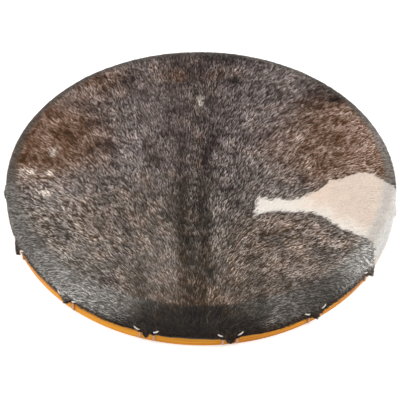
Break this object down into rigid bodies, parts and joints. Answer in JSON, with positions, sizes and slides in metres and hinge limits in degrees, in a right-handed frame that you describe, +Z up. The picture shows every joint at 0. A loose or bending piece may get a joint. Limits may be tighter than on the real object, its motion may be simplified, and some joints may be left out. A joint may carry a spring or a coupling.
{
  "type": "frame drum",
  "caption": "Hair-on hide frame drum: a bevelled wooden hoop, one hide drawn into tufts and laced by rawhide thongs to a wooden grip ring in the open back.",
  "frame": {"origin": "On the plane of the hoop's flat back edge, under the middle of the head.", "axes": "+Z up, out through the head; the picture looks along +Y and down; +X to its right."},
  "size_m": [0.5037, 0.5035, 0.0531],
  "materials": {
    "hoop_wood": "orange stain, satin oil",
    "hair_hide": "short hair on, dark brindle with a cream patch",
    "ring_wood": "orange stain, worn smooth",
    "rawhide": "dry, part translucent"
  },
  "bodies": {
    "root": {"hoop": "hoop_wood", "hide": "hair_hide", "grip_ring": "ring_wood", "thong_01": "rawhide", "thong_02": "rawhide", "thong_03": "rawhide", "thong_04": "rawhide", "thong_05": "rawhide", "thong_06": "rawhide", "thong_07": "rawhide", "thong_08": "rawhide", "thong_09": "rawhide", "thong_10": "rawhide", "thong_11": "rawhide", "thong_12": "rawhide", "thong_13": "rawhide", "thong_14": "rawhide", "thong_15": "rawhide"}
  },
  "joints": []
}
